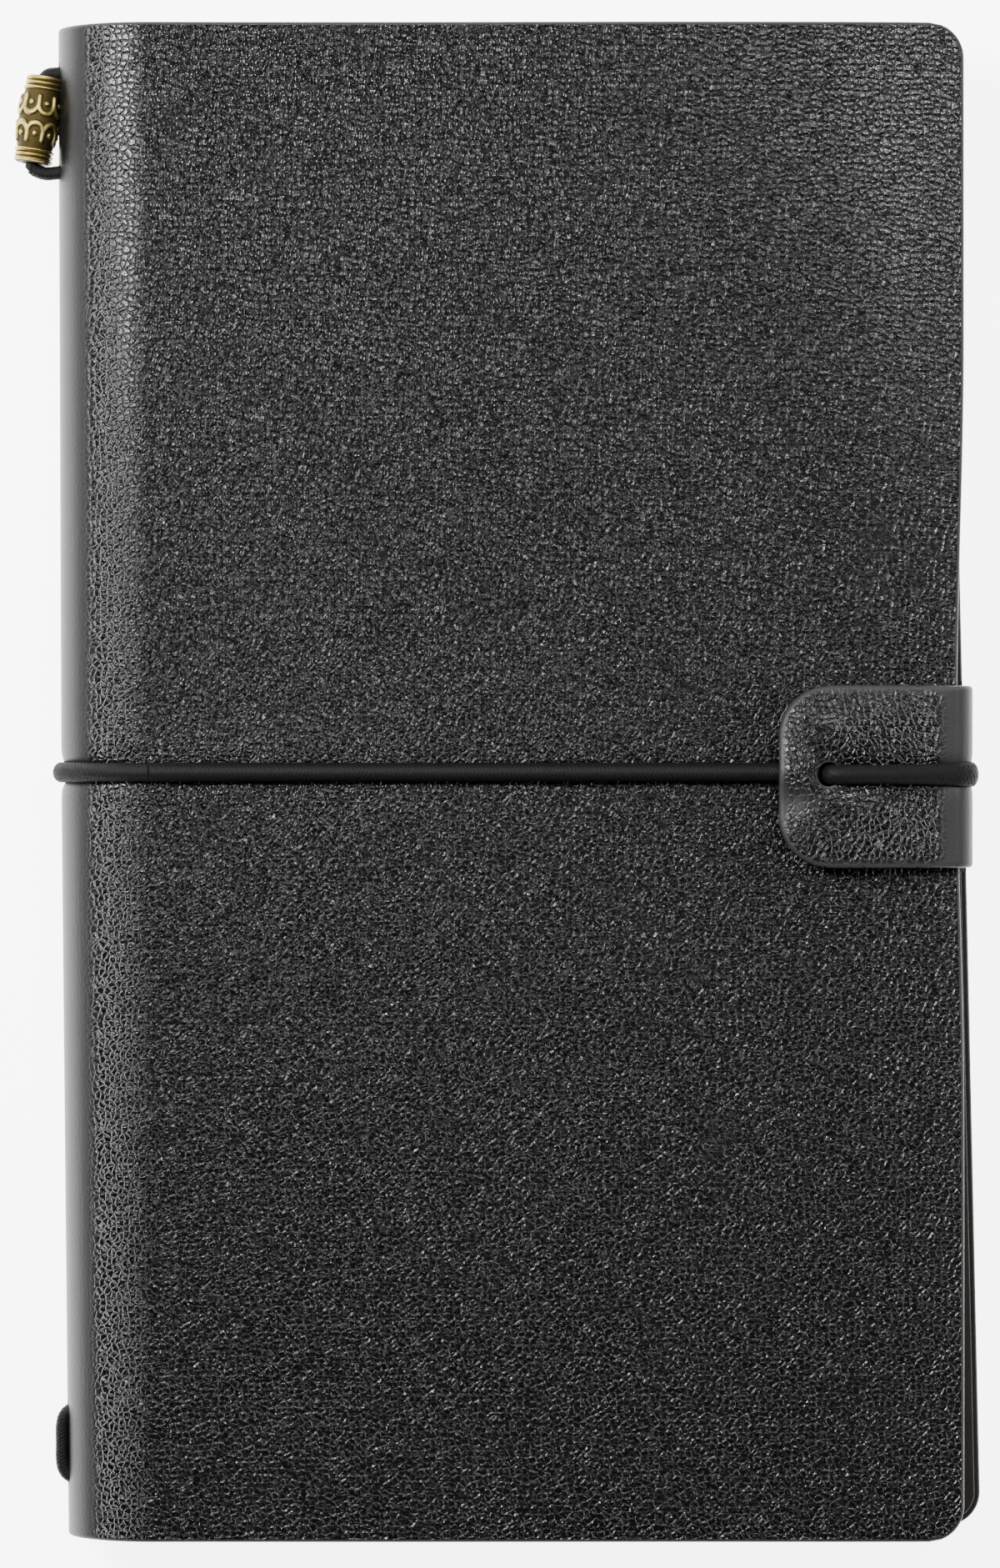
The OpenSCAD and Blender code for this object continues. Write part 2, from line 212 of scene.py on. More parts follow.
# ---- materials ----
class Shader:
    """one Principled material and short ways to add nodes to it"""

    def __init__(self, name, **values):
        self.material = bpy.data.materials.new(name)
        self.material.use_nodes = True
        self.tree = self.material.node_tree
        self.out = next(n for n in self.tree.nodes if n.type == "BSDF_PRINCIPLED")
        for key, value in values.items():
            self.out.inputs[key.replace("_", " ")].default_value = value

    def node(self, kind, inputs=None, **settings):
        n = self.tree.nodes.new(kind)
        for key, value in settings.items():
            setattr(n, key, value)
        for key, value in (inputs or {}).items():
            if isinstance(value, bpy.types.NodeSocket):
                self.tree.links.new(value, n.inputs[key])
            else:
                n.inputs[key].default_value = value
        return n

    def math(self, operation, a, b=0.0, c=0.0, clamp=False):
        n = self.node("ShaderNodeMath", {0: a, 1: b, 2: c}, operation=operation, use_clamp=clamp)
        return n.outputs[0]

    def ramp(self, value, lo, hi, to_lo=0.0, to_hi=1.0):
        n = self.node("ShaderNodeMapRange", {0: value, 1: lo, 2: hi, 3: to_lo, 4: to_hi},
                      interpolation_type="SMOOTHSTEP")
        return n.outputs[0]

    def mix(self, factor, a, b):
        """two colours mixed; a plain one is three numbers"""
        a, b = [(*c, 1) if isinstance(c, tuple) else c for c in (a, b)]
        return self.node("ShaderNodeMix", {0: factor, 6: a, 7: b}, data_type="RGBA").outputs[2]

    def vector(self, operation, a, b):
        return self.node("ShaderNodeVectorMath", {0: a, 1: b}, operation=operation).outputs[0]

    def uv_mm(self):
        uv = self.node("ShaderNodeUVMap", uv_map="UVMap").outputs[0]
        return self.vector("MULTIPLY", uv, (1000, 1000, 1000))

    def object_mm(self):
        place = self.node("ShaderNodeTexCoord").outputs["Object"]
        return self.vector("MULTIPLY", place, (1000, 1000, 1000))

    def mark(self, name):
        return self.node("ShaderNodeAttribute", attribute_name=name).outputs["Fac"]

    def noise(self, vector, scale, detail=2.0, rough=0.5):
        return self.node("ShaderNodeTexNoise", {"Vector": vector, "Scale": scale, "Detail": detail,
                                                "Roughness": rough}).outputs["Fac"]

    def warp(self, place, scale, amount):
        """places shifted by noise, so that patterns on them lose their evenness"""
        noise = self.node("ShaderNodeTexNoise", {"Vector": place, "Scale": scale, "Detail": 2.0})
        off = self.vector("SUBTRACT", noise.outputs["Color"], (0.5, 0.5, 0.5))
        off = self.vector("MULTIPLY", off, (amount,) * 3)
        return self.vector("ADD", place, off)

    def crease(self, vector, scale):
        """distance from the nearest border between grain cells"""
        return self.node("ShaderNodeTexVoronoi", {"Vector": vector, "Scale": scale, "Randomness": 0.9},
                         feature="DISTANCE_TO_EDGE", voronoi_dimensions="2D").outputs["Distance"]

    def set(self, name, value):
        self.tree.links.new(value, self.out.inputs[name])

    def bump(self, height, depth_mm, strength=1.0):
        n = self.node("ShaderNodeBump", {"Height": height, "Distance": depth_mm * MM, "Strength": strength})
        self.set("Normal", n.outputs[0])


def leather(name, dark, light, shine, stretched_and_sheen, rough, depth):
    """Pebbled leather. The point mark smoothed says where bending has pulled the grain flat.
    The cells go from dark to light, which paints shade into the creases, with painted glints of the colour
    shine on the cell rims in patches; flat grain takes one plain colour, which on the tab is a painted pale
    sheen."""
    s = Shader(name, Specular_IOR_Level=0.4)
    at = s.uv_mm()
    flat = s.mark("smoothed")
    keep = s.math("SUBTRACT", 1.0, flat)
    edge = s.crease(s.warp(at, 0.9, 0.6), 1.2)
    cells = s.ramp(edge, 0.0, 0.26)

    # relief: the cells, finer ones and pores in them, and a slow unevenness that bending leaves
    fine = s.ramp(s.crease(s.warp(at, 2.2, 0.3), 2.6), 0.0, 0.2)
    pores = s.noise(at, 4.0, 3.0, 0.6)
    height = s.math("MULTIPLY", cells, 0.62)
    height = s.math("MULTIPLY_ADD", fine, 0.07, height)
    height = s.math("MULTIPLY_ADD", pores, 0.05, height)
    height = s.math("MULTIPLY", height, keep)
    height = s.math("MULTIPLY_ADD", s.noise(at, 0.35, 2.0), 0.12, height)
    s.bump(height, depth)

    # colour: lighter on the cells with painted shade in the creases, lighter in random clouds, and painted
    # glints on the cell rims
    crease_shade_and_tone = s.math("MULTIPLY_ADD", s.noise(at, 0.06, 3.0), 0.5, s.math("MULTIPLY", cells, 0.55), clamp=True)
    rim = s.math("MULTIPLY", s.ramp(edge, 0.02, 0.1), s.ramp(edge, 0.12, 0.26, 1.0, 0.0))
    # painted glints: pale patches on the cell rims that stand in for light caught on the grain
    painted_glints = s.math("MULTIPLY", s.math("MULTIPLY", rim, s.ramp(s.noise(at, 1.3, 2.0), 0.46, 0.64)), keep)
    # where the grain is flat, one colour: on the tab a painted pale sheen, on the cover a plain dark
    base = s.mix(flat, s.mix(crease_shade_and_tone, dark, light), stretched_and_sheen)
    s.set("Base Color", s.mix(painted_glints, base, shine))

    # roughness: glossy, duller in the creases and where the grain is flat
    gloss = s.math("MULTIPLY_ADD", s.math("SUBTRACT", 1.0, cells), 0.03, rough)
    gloss = s.math("MULTIPLY_ADD", flat, 0.34, gloss)
    gloss = s.math("MULTIPLY_ADD", s.noise(at, 0.12, 3.0), 0.03, gloss)
    s.set("Roughness", gloss)
    return s.material


def cut_edge(name, colour):
    """burnished cut edge of leather, with its layers faintly visible"""
    s = Shader(name, Specular_IOR_Level=0.4)
    at = s.object_mm()
    fibres = s.noise(at, 3.5, 4.0, 0.65)
    s.set("Base Color", s.mix(fibres, tuple(c * 0.45 for c in colour), colour))
    s.set("Roughness", s.ramp(fibres, 0.2, 0.8, 0.42, 0.62))
    s.bump(fibres, 0.05)
    return s.material


def suede(name, dark, light):
    """napped flesh side or lining"""
    s = Shader(name, Specular_IOR_Level=0.2, Sheen_Weight=0.25, Sheen_Roughness=0.5)
    at = s.uv_mm()
    nap = s.noise(at, 4.0, 4.0, 0.7)
    patch = s.noise(s.warp(at, 0.1, 6.0), 0.09, 3.0)
    s.set("Base Color", s.mix(s.math("MULTIPLY_ADD", nap, 0.6, s.math("MULTIPLY", patch, 0.5)),
                              dark, light))
    s.set("Roughness", s.ramp(nap, 0.2, 0.8, 0.8, 0.95))
    s.bump(nap, 0.08)
    return s.material


def braid(name, dark, light):
    """tightly braided elastic; the mark rib is high on each carrier of the braid, and the colour paints a
    highlight there and shade between the carriers
    """
    s = Shader(name, Specular_IOR_Level=0.14)
    at = s.uv_mm()
    rib = s.mark("rib")
    thread = s.noise(at, 9.0, 3.0, 0.7)
    # painted highlight on the carriers' tops and painted shade between them, from rib; the thread noise is the
    # yarn's own tone
    s.set("Base Color", s.mix(s.math("MULTIPLY_ADD", rib, 0.7, s.math("MULTIPLY", thread, 0.3)),
                              dark, light))
    s.set("Roughness", s.ramp(thread, 0.2, 0.8, 0.45, 0.7))
    s.bump(thread, 0.04)
    return s.material


def antique_brass(name):
    """polished on the raised scrolls, dark in the recesses; the mark relief is the height"""
    s = Shader(name, Metallic=1.0)
    at = s.object_mm()
    relief = s.mark("relief")
    stain = s.noise(at, 0.9, 4.0, 0.65)
    high = s.math("ADD", s.ramp(relief, 0.12, 0.75), s.math("MULTIPLY_ADD", stain, 0.5, -0.28), clamp=True)
    s.set("Base Color", s.mix(high, (0.05, 0.037, 0.013), (0.34, 0.262, 0.085)))
    s.set("Roughness", s.ramp(high, 0.0, 1.0, 0.62, 0.3))
    s.bump(s.noise(at, 7.0, 4.0, 0.7), 0.05)
    return s.material


def card_stock(name):
    """kraft card with dark flecks"""
    s = Shader(name, Specular_IOR_Level=0.25)
    at = s.object_mm()
    fibre = s.noise(s.warp(at, 0.6, 1.5), 2.2, 5.0, 0.75)
    fleck = s.ramp(s.noise(at, 1.3, 6.0, 0.8), 0.62, 0.7)
    base = s.mix(fibre, (0.15, 0.095, 0.05), (0.27, 0.18, 0.1))
    s.set("Base Color", s.mix(s.math("MULTIPLY", fleck, 0.55), base, (0.09, 0.055, 0.03)))
    s.set("Roughness", s.ramp(fibre, 0.2, 0.8, 0.72, 0.9))
    s.bump(fibre, 0.05)
    return s.material


def paper_stock(name):
    """cream paper, unevenly aged"""
    s = Shader(name, Specular_IOR_Level=0.3)
    at = s.object_mm()
    fibre = s.noise(at, 1.8, 5.0, 0.7)
    age = s.noise(at, 0.03, 3.0)
    s.set("Base Color", s.mix(s.math("MULTIPLY_ADD", fibre, 0.4, s.math("MULTIPLY", age, 0.6)),
                              (0.5, 0.44, 0.33), (0.68, 0.62, 0.49)))
    s.set("Roughness", s.ramp(fibre, 0.2, 0.8, 0.75, 0.9))
    s.bump(fibre, 0.03)
    return s.material


def staple_steel(name):
    """bright drawn wire"""
    s = Shader(name, Metallic=1.0)
    at = s.object_mm()
    drawn = s.noise(at, 3.0, 3.0)
    s.set("Base Color", s.mix(drawn, (0.46, 0.46, 0.48), (0.68, 0.68, 0.7)))
    s.set("Roughness", s.ramp(drawn, 0.2, 0.8, 0.22, 0.4))
    s.bump(drawn, 0.02)
    return s.material


def pale_floor(name):
    """pale paper that gives off some light, so that it stays near white"""
    s = Shader(name, Specular_IOR_Level=0.1)
    grain = s.noise(s.object_mm(), 0.02, 2.0)
    s.set("Base Color", s.mix(grain, (0.9, 0.9, 0.9), (0.94, 0.94, 0.94)))
    s.set("Roughness", s.ramp(grain, 0.2, 0.8, 0.85, 0.95))
    s.out.inputs["Emission Color"].default_value = (1, 1, 1, 1)
    s.out.inputs["Emission Strength"].default_value = 6
    return s.material


# shine is the colour of the painted glints on the grain's cell rims
COVER_LEATHER = leather("cover_leather", dark=(0.0004, 0.0004, 0.0004), light=(0.002, 0.002, 0.0021),
                        shine=(0.028, 0.028, 0.0285), stretched_and_sheen=(0.001, 0.001, 0.001), rough=0.13, depth=0.2)
# the tab's colour for flat grain is pale: a painted sheen at the fold, the edges and beside the hole
TAB_LEATHER = leather("tab_leather", dark=(0.0005, 0.0005, 0.0005), light=(0.0024, 0.0024, 0.0025),
                      shine=(0.036, 0.036, 0.0365), stretched_and_sheen=(0.014, 0.0137, 0.0132), rough=0.15, depth=0.22)
COVER_EDGE = cut_edge("cover_edge", (0.02, 0.02, 0.0195))
TAB_EDGE = cut_edge("tab_edge", (0.028, 0.028, 0.027))
HOLE_EDGE = cut_edge("hole_edge", (0.42, 0.4, 0.36))
FLESH = suede("flesh_side", (0.01, 0.009, 0.0085), (0.026, 0.024, 0.022))
LINING = suede("lining_suede", (0.012, 0.011, 0.01), (0.03, 0.028, 0.026))
BRAID = braid("closure_braid", (0.001, 0.001, 0.001), (0.006, 0.0058, 0.0056))
BINDING = braid("binding_braid", (0.001, 0.001, 0.001), (0.005, 0.0048, 0.0046))
BRASS = antique_brass("antique_brass")
CARD = card_stock("kraft_card")
PAPER = paper_stock("cream_paper")
STEEL = staple_steel("staple_wire")


# ---- sheets of leather ----
def touched(cells):
    """the grid points at the corners of the marked cells"""
    rows, cols = cells.shape
    points = np.zeros((rows + 1, cols + 1), bool)
    for i, j in ((0, 0), (0, 1), (1, 0), (1, 1)):
        points[i:rows + i, j:cols + j] |= cells
    return points


def onto_holes(along, across, flat, rim, holes):
    """flat places whose points on a hole's rim are moved onto its circle"""
    a, c = [v.copy() for v in flat]
    for hole_a, hole_c, r in holes:
        near = rim & (np.hypot(along - hole_a, across - hole_c) < 2 * r)
        d = np.maximum(np.hypot(a - hole_a, c - hole_c), 1e-6)
        a[near] = (hole_a + (a - hole_a) * r / d)[near]
        c[near] = (hole_c + (c - hole_c) * r / d)[near]
    return a, c


def hole_walls(gone):
    """quads of the walls of the holes, where a kept cell meets a removed one"""
    cols = gone.shape[1] + 1
    n = (gone.shape[0] + 1) * cols
    kept = np.pad(~gone, 1, constant_values=False)
    edges = []
    for i, j in zip(*np.nonzero(gone)):
        for di, dj, (p, q) in ((-1, 0, ((0, 0), (0, 1))), (1, 0, ((1, 0), (1, 1))),
                               (0, -1, ((0, 0), (1, 0))), (0, 1, ((0, 1), (1, 1)))):
            if kept[i + 1 + di, j + 1 + dj]:
                edges.append(((i + p[0]) * cols + j + p[1], (i + q[0]) * cols + j + q[1]))
    e = np.array(edges)
    return np.stack([e[:, 0], e[:, 1], e[:, 1] + n, e[:, 0] + n], -1)


def sheet_piece(name, grid, place, profile, materials, holes=(), marks=None):
    """A sheet with cut edges and punched holes.
    grid(inset) gives the flat places (along, across) of a grid pulled in by inset, and
    place(along, across, depth) bends them into shape. profile rows (inset, depth) go from the outer face
    round the edge to the inner face.
    materials are outer face, cut edge, inner face and hole wall; holes are rows (along, across, radius)."""
    along, across = grid(profile[0][0])
    rows, cols = along.shape
    n = rows * cols
    middle_a = (along[:-1, :-1] + along[1:, 1:]) / 2
    middle_c = (across[:-1, :-1] + across[1:, 1:]) / 2
    gone = np.zeros(middle_a.shape, bool)
    for a, c, r in holes:
        gone |= np.hypot(middle_a - a, middle_c - c) < r
    kept_at = touched(~gone)
    rim = kept_at & touched(gone)

    # points of the outer and the inner face, then of the edge's rings between them
    points, flat = [], []
    for inset, depth in (profile[0], profile[-1]):
        a, c = onto_holes(along, across, grid(inset), rim, holes)
        points.append(place(a, c, depth).reshape(-1, 3))
        flat.append(np.stack([a, c], -1).reshape(-1, 2))
    border = grid_border(rows, cols)
    for inset, depth in profile[1:-1]:
        a, c = [v.ravel()[border] for v in grid(inset)]
        points.append(place(a, c, depth).reshape(-1, 3))
        flat.append(np.stack([a, c], -1))

    top = grid_quads(rows, cols)[~gone.ravel()]
    quads = [top, top[:, ::-1] + n]
    slots = [np.zeros(len(top)), np.full(len(top), 2)]
    m = len(border)
    rings = [border] + [2 * n + k * m + np.arange(m) for k in range(len(profile) - 2)] + [border + n]
    kept_ring = kept_at.ravel()[border]
    rim_ring = rim.ravel()[border]
    whole = kept_ring & np.roll(kept_ring, -1) & ~(rim_ring & np.roll(rim_ring, -1))
    for r0, r1 in zip(rings, rings[1:]):
        wall = np.stack([r0, np.roll(r0, -1), np.roll(r1, -1), r1], -1)[whole]
        quads.append(wall)
        slots.append(np.ones(len(wall)))
    if gone.any():
        walls = hole_walls(gone)
        quads.append(walls)
        slots.append(np.full(len(walls), 3))

    quads, points, flat = np.concatenate(quads), np.concatenate(points), np.concatenate(flat)
    used = np.zeros(len(points), bool)
    used[quads.ravel()] = True
    index = np.cumsum(used) - 1
    attributes = {k: f(flat[used, 0], flat[used, 1]) for k, f in (marks or {}).items()}
    return make_mesh(name, points[used], index[quads], flat[used], np.concatenate(slots), materials,
                     attributes, sharp=50)


# the rounded spine is half an ellipse in section
ROUND_A = 12.5
_angle = np.linspace(0, math.pi / 2, 400)
_round = np.stack([ROUND_A * (1 - np.cos(_angle)), MID_Z * np.sin(_angle)], -1)
_run = np.concatenate([[0], np.cumsum(np.hypot(*np.diff(_round, axis=0).T))])
ROUND_L = float(_run[-1])


def section(s):
    """outer face at distance s along the section from the middle of the spine: x, height over it, normal"""
    a = np.interp(s, _run, _angle)
    x = np.where(s < ROUND_L, ROUND_A * (1 - np.cos(a)), ROUND_A + s - ROUND_L)
    z = MID_Z * np.sin(a)
    nx, nz = -np.cos(a) / ROUND_A, np.sin(a) / MID_Z
    size = np.hypot(nx, nz)
    return x, z, nx / size, nz / size


def along_of(x):
    """distance along the section of a place x on the flat of a cover"""
    return ROUND_L + x - ROUND_A


def spine_slant(x, y):
    """the closed spine stands a little further out at the head than at the foot"""
    lean = np.where(y > 0, -0.4 * y / HALF_H, -1.0 * y / HALF_H)
    return lean * (1 - smooth(x, 0, 26))


def press(y, width, depth):
    """a groove pressed by the closure elastic"""
    return depth * bump_at(y, CORD_Y, width)


def press_on_spine(s, y):
    """the deeper groove where the closure elastic goes round the spine"""
    return press(y, 1.7, 0.75) * (1 - smooth(s, 6, 18))


def place_front(s, y, depth):
    """a flat place of the front cover's sheet bent into shape, depth below its outer face"""
    x, z, nx, nz = section(s)
    sunk = press(y, 1.5, 0.16) * smooth(s, 8, 20) + press_on_spine(s, y)
    droop = 0.75 * smooth(x, COVER_W - 22, COVER_W + 2) ** 2 * (0.45 + 0.55 * smooth(y, -60, 20))
    uneven = 0.16 * waves(x, y, 3, 70) * smooth(x, 6, 26)
    off = sunk + depth
    flat = smooth(x, 2, 14)
    return np.stack([x + spine_slant(x, y) - nx * off, np.broadcast_to(y, np.shape(x)),
                     MID_Z + z - nz * off - droop * flat + uneven * flat], -1)


def place_back(s, y, depth):
    """the same for the back cover's sheet, with the groove that the elastic lies flush in"""
    x, z, nx, nz = section(s)
    from_groove = np.maximum(np.abs(y - TAB_HOLE[1]) - BACK_GROOVE_HALF, 0)
    groove = BACK_GROOVE_DEPTH * np.exp(-(from_groove / BACK_GROOVE_SIDE) ** 2)
    share = min(1.0, max(0.0, 1.3 - depth))
    off = groove * smooth(s, 9, 18) * share + press_on_spine(s, y) + depth
    return np.stack([x + spine_slant(x, y) - nx * off, np.broadcast_to(y, np.shape(x)),
                     MID_Z - z + nz * off], -1)


def front_reach(y):
    """x of the front cover's fore edge, a little hollow at the tab"""
    dip = 0.9 * (1 + np.cos(np.pi * np.clip((y - 8) / 52, -1, 1))) / 2
    return COVER_W - dip


def back_reach(y):
    """x of the back cover's fore edge, cut slanted, and drawn in where the tab starts"""
    reach = 122.8 - 2.2 * y / HALF_H
    return np.where(np.abs(y - TAB_Y) < TAB_HALF, TAB_X - TAB_FOOT_R, reach)


ROWS_Y = spread([(-HALF_H, 0.3), (-96.4, 0.35), (-82.0, 0.9), (TAB_Y - TAB_HALF - 0.01, 0.02),
                 (TAB_Y - TAB_HALF + 0.01, 0.8), (-3.0, 0.25), (5.0, 0.8), (TAB_Y + TAB_HALF - 0.01, 0.02),
                 (TAB_Y + TAB_HALF + 0.01, 0.9), (79.5, 0.35), (97.6, 0.3), (HALF_H, 1)])


FORE_BAND = 26  # the band of a cover's grid that is fitted to its fore edge


def cover_grid(reach, inset, corner=4.75):
    """flat grid of one cover and half the spine; the fore corners are rounded"""
    y = ROWS_Y * (1 - inset / HALF_H)
    over = np.clip(np.abs(y) - (HALF_H - corner), 0, corner - inset)
    cut = (corner - inset) - np.sqrt(np.maximum((corner - inset) ** 2 - over ** 2, 0))
    end = along_of(reach(y)) - inset - cut
    s = spread([(0, 0.3), (4.2, 0.5), (ROUND_L + 4, 0.85), (ROUND_L + 92, 0.85), (ROUND_L + 104, 0.5),
                (ROUND_L + 110, 1)])
    part = np.clip((s - (s[-1] - FORE_BAND)) / FORE_BAND, 0, 1)
    along = s[:, None] + part[:, None] * (end[None, :] - s[-1])
    return along, np.broadcast_to(y[None, :], along.shape).copy()


# profiles of the cut edges: rows (inset, depth) from the outer to the inner face
EDGE = ((0.45, 0.0), (0.2, 0.07), (0.05, 0.25), (0.0, 0.6), (0.0, 1.1), (0.08, 1.45), (0.3, LEATHER_T))
LINING_EDGE = ((1.0, 1.63), (0.85, 1.7), (0.8, 1.9), (0.85, 2.12), (1.0, LEATHER_T + LINING_T))
TAB_PROFILE = ((0.55, 0.0), (0.25, 0.08), (0.06, 0.28), (0.0, 0.6), (0.0, 1.05), (0.1, 1.42),
               (0.35, LEATHER_T))


def smoothed_cover(s, y):
    """grain pulled flat at the outermost bend of the spine and a little at the fore edge"""
    return np.clip(1.0 - smooth(s, 6.6, 10.5) + 0.25 * smooth(s, 118, 126), 0, 0.93)


def cover_pieces():
    """both halves of the cover: leather and lining, each from the middle of the spine to the fore edge"""
    binding_holes = [(BINDING_Z - MID_Z + 0.02, y, BINDING_HOLE_R) for y in HEAD_HOLES + FOOT_HOLES]
    leather_set = (COVER_LEATHER, COVER_EDGE, FLESH, HOLE_EDGE)
    marks = {"smoothed": smoothed_cover}
    for side, place, reach, holes, booklet in (
            ("front", place_front, front_reach, [*binding_holes, CORD_HOLE], "booklet_3"),
            ("back", place_back, back_reach, [CORD_HOLE], "booklet_1")):
        grid = partial(cover_grid, reach)
        outer = sheet_piece(f"{side}_leather", grid, place, EDGE, leather_set, holes, marks)
        inner = sheet_piece(f"{side}_lining", grid, place, LINING_EDGE, (LINING,) * 4, (), marks)
        for piece, what, slot in ((outer, "leather", "cover_leather"), (inner, "lining", "lining")):
            bend_with(piece)
            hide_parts(f"{side}_cover_{what}", f"spine_{what}")


# ---- the tab ----
def strap_path():
    """The outer face of the strap in section: up from the back cover, over the fore edge, to the free end.
    Also the number of its first point past the fold."""
    foot = [(TAB_X - TAB_FOOT_R + TAB_FOOT_R * math.sin(a), TAB_FOOT_R * (1 - math.cos(a)))
            for a in np.linspace(0, math.pi / 2, 40)]
    head_z = TAB_TOP - TAB_HEAD_R
    wall = [(TAB_X, z) for z in np.linspace(TAB_FOOT_R, head_z, 30)[1:]]
    head_x = TAB_X - TAB_HEAD_R
    bend = [(head_x + TAB_HEAD_R * math.cos(a), head_z + TAB_HEAD_R * math.sin(a))
            for a in np.linspace(0, math.pi / 2, 30)[1:]]
    run = head_x - TAB_LEFT
    top = [(x, TAB_TOP + TAB_LIFT * math.sin(math.pi / 2 * (head_x - x) / run))
           for x in np.linspace(head_x, TAB_LEFT, 120)[1:]]
    return np.array(foot + wall + bend + top), len(foot + wall + bend)


STRAP, PAST_FOLD = strap_path()
STRAP_RUN = np.concatenate([[0], np.cumsum(np.hypot(*np.diff(STRAP, axis=0).T))])
STRAP_L = float(STRAP_RUN[-1])
_tangent = np.gradient(STRAP, STRAP_RUN, axis=0)
_tangent /= np.linalg.norm(_tangent, axis=1)[:, None]
STRAP_OUT = np.stack([_tangent[:, 1], -_tangent[:, 0]], -1)
RISER_END = float(np.interp(RISER_TOP, STRAP[:PAST_FOLD, 1], STRAP_RUN[:PAST_FOLD]))
FOLD_END = STRAP_RUN[PAST_FOLD - 1]


def strap_along(x):
    """distance along the strap of a place x on its flap"""
    return float(np.interp(-x, -STRAP[PAST_FOLD:, 0], STRAP_RUN[PAST_FOLD:]))


def flap_relief(s, y):
    """how the flap is puffed over the cord under it and pressed in by the cord on it"""
    hole = strap_along(TAB_HOLE[0])
    past_fold = smooth(s, FOLD_END - 3, FOLD_END + 2)
    at_cord = bump_at(y, TAB_HOLE[1], 1.5)
    under = 0.75 * bump_at(y, CORD_Y, 2.6) * smooth(s, hole + 0.5, hole + 3.0)
    groove = -0.75 * at_cord * (1 - smooth(s, hole - 3.0, hole - 0.5)) * past_fold
    upper = 0.7 * bump_at(y, 6.8, 3.6) * bump_at(s, hole - 0.5, 5.5)
    lower = 0.6 * bump_at(y, -3.4, 2.6) * bump_at(s, hole - 6.0, 6.0)
    on_top = smooth(s, FOLD_END, FOLD_END + 8)
    rim_droop = -0.55 * smooth(np.abs(y - TAB_Y), TAB_HALF - 4.5, TAB_HALF) * on_top
    end_droop = -0.5 * smooth(s, STRAP_L - 4.0, STRAP_L) * (1 - bump_at(y, CORD_Y, 3.0) * 0.4)
    fold_notch = -0.5 * at_cord * (1 - past_fold) * smooth(s, 1, 6)
    return under + groove + upper + lower + rim_droop + end_droop + fold_notch


def place_strap(s, y, depth):
    """a flat place of the strap bent into shape, depth below its outer face"""
    x = np.interp(s, STRAP_RUN, STRAP[:, 0])
    z = np.interp(s, STRAP_RUN, STRAP[:, 1])
    ox, oz = np.interp(s, STRAP_RUN, STRAP_OUT[:, 0]), np.interp(s, STRAP_RUN, STRAP_OUT[:, 1])
    off = flap_relief(s, y) - depth
    return np.stack([x + ox * off, np.broadcast_to(y, np.shape(x)), z + oz * off], -1)


def strap_grid(start, end, round_end):
    """a function for the flat grid of one stretch of the strap; round_end rounds the corners at its end"""
    y0 = spread([(-TAB_HALF, 0.3), (-2.0, 0.2), (2.6, 0.3), (TAB_HALF, 1)])
    step = 0.25
    s0 = np.linspace(start, end, round((end - start) / step) + 1)
    end_band = 12

    def grid(inset):
        y = y0 * (1 - inset / TAB_HALF)
        reach = np.full(len(y), end)
        part = np.zeros(len(s0))
        if round_end:
            r = TAB_CORNER - inset
            over = np.clip(np.abs(y) - (TAB_HALF - TAB_CORNER), 0, r)
            reach = reach - inset - (r - np.sqrt(np.maximum(r * r - over ** 2, 0)))
            part = np.clip((s0 - (end - end_band)) / end_band, 0, 1)
        along = s0[:, None] + part[:, None] * (reach[None, :] - end)
        return along, np.broadcast_to(y[None, :] + TAB_Y, along.shape).copy()

    return grid


def tab_smoothed_and_sheen(s, y):
    """grain pulled flat at the fold, along the edges, beside the hole and round it; on the tab this also
    places a painted pale sheen
    """
    fold = smooth(s, RISER_END - 1, FOLD_END - 2) * (1 - smooth(s, FOLD_END + 0.8, FOLD_END + 3.5))
    edge = smooth(np.abs(y - TAB_Y), TAB_HALF - 1.5, TAB_HALF - 0.7) + smooth(s, STRAP_L - 1.5, STRAP_L - 0.7)
    patch = bump_at(s, strap_along(98.8), 2.6) * bump_at(y, -2.6, 2.4)
    rim = bump_at(np.hypot(s - strap_along(TAB_HOLE[0]), y - TAB_HOLE[1]), TAB_HOLE_R, 0.35)
    return np.clip(fold + edge * 0.7 + 0.9 * patch + rim, 0, 0.95)


def tab_pieces():
    """the strap in two pieces, parted at the top of the riser"""
    hole = (strap_along(TAB_HOLE[0]), TAB_HOLE[1], TAB_HOLE_R)
    for part, start, end, holes in (("riser", 0, RISER_END, ()), ("flap", RISER_END, STRAP_L, [hole])):
        piece = sheet_piece(f"tab_{part}_leather", strap_grid(start, end, part == "flap"), place_strap,
                            TAB_PROFILE, (TAB_LEATHER, TAB_EDGE, FLESH, HOLE_EDGE), holes,
                            {"smoothed": tab_smoothed_and_sheen})
        bend_with(piece)
        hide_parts(f"tab_{part}")


# ---- cords ----
def curve_through(points, step):
    """an even run of places along a smooth curve through the points"""
    p = np.asarray(points, float)
    q = np.vstack([2 * p[0] - p[1], p, 2 * p[-1] - p[-2]])
    fine = []
    for i in range(1, len(q) - 2):
        t = np.linspace(0, 1, 24, endpoint=False)[:, None]
        a, b, c, d = q[i - 1], q[i], q[i + 1], q[i + 2]
        fine.append(0.5 * (2 * b + (c - a) * t + (2 * a - 5 * b + 4 * c - d) * t ** 2
                           + (3 * b - a - 3 * c + d) * t ** 3))
    fine = np.vstack(fine + [p[-1:]])
    run = np.concatenate([[0], np.cumsum(np.linalg.norm(np.diff(fine[:, :3], axis=0), axis=1))])
    n = max(4, round(run[-1] / step))
    at = np.linspace(0, run[-1], n + 1)
    return np.stack([np.interp(at, run, fine[:, k]) for k in range(p.shape[1])], -1), at


